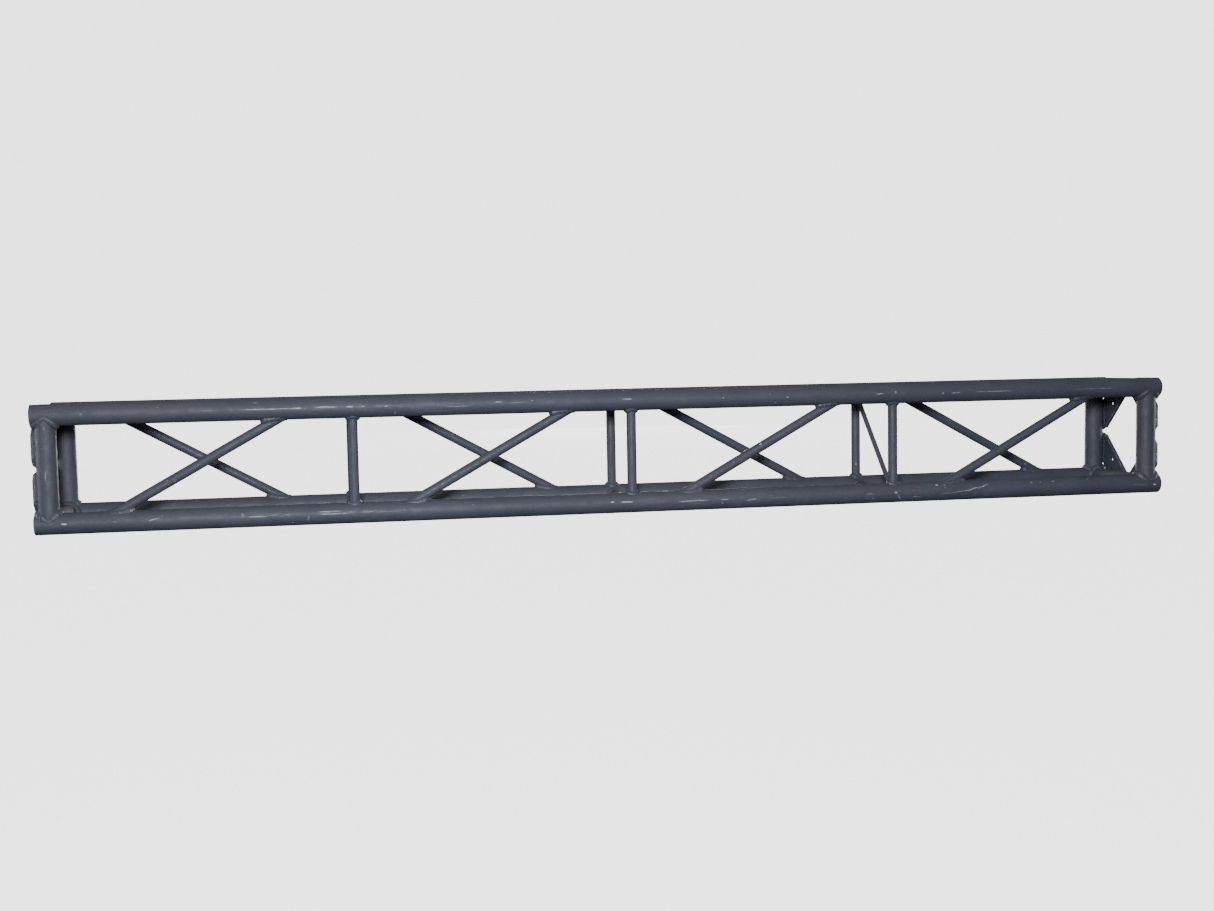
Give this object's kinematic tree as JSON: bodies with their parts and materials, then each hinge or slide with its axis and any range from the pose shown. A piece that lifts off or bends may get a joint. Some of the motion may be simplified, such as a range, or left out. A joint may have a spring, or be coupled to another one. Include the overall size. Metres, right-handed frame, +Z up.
{
  "type": "lighting truss section",
  "caption": "Welded square box truss section for hanging stage lights: round tube chords, slender diagonal lacing, and triangular bolt plates across the corners of both end frames.",
  "frame": {"origin": "the middle of the truss in X and Y, on the plane that the two lower chords lie on", "axes": "+X along the truss to the right as seen from its front face, +Y from the front laced face to the back one, +Z up"},
  "size_m": [2.848, 0.3048, 0.3048],
  "materials": {
    "chord_paint": "satin",
    "lacing_paint": "satin",
    "plate_paint": "satin"
  },
  "bodies": {
    "root": {"chord_bottom_front": "chord_paint", "chord_bottom_back": "chord_paint", "chord_top_front": "chord_paint", "chord_top_back": "chord_paint", "end_post_left_front": "chord_paint", "end_post_left_back": "chord_paint", "end_rail_left_bottom": "chord_paint", "end_rail_left_top": "chord_paint", "end_post_right_front": "chord_paint", "end_post_right_back": "chord_paint", "end_rail_right_bottom": "chord_paint", "end_rail_right_top": "chord_paint", "vertical_front_1": "lacing_paint", "vertical_back_1": "lacing_paint", "cross_strut_bottom_1": "lacing_paint", "cross_strut_top_1": "lacing_paint", "inner_stay_1": "lacing_paint", "vertical_front_2": "lacing_paint", "vertical_back_2": "lacing_paint", "cross_strut_bottom_2": "lacing_paint", "cross_strut_top_2": "lacing_paint", "vertical_front_3": "lacing_paint", "vertical_back_3": "lacing_paint", "cross_strut_bottom_3": "lacing_paint", "cross_strut_top_3": "lacing_paint", "inner_stay_3": "lacing_paint", "diagonal_front_1": "lacing_paint", "diagonal_back_1": "lacing_paint", "diagonal_front_2": "lacing_paint", "diagonal_back_2": "lacing_paint", "diagonal_front_3": "lacing_paint", "diagonal_back_3": "lacing_paint", "diagonal_front_4": "lacing_paint", "diagonal_back_4": "lacing_paint", "end_plate_left_bottom_front": "plate_paint", "end_plate_left_bottom_back": "plate_paint", "end_plate_left_top_front": "plate_paint", "end_plate_left_top_back": "plate_paint", "end_plate_right_bottom_front": "plate_paint", "end_plate_right_bottom_back": "plate_paint", "end_plate_right_top_front": "plate_paint", "end_plate_right_top_back": "plate_paint"}
  },
  "joints": []
}
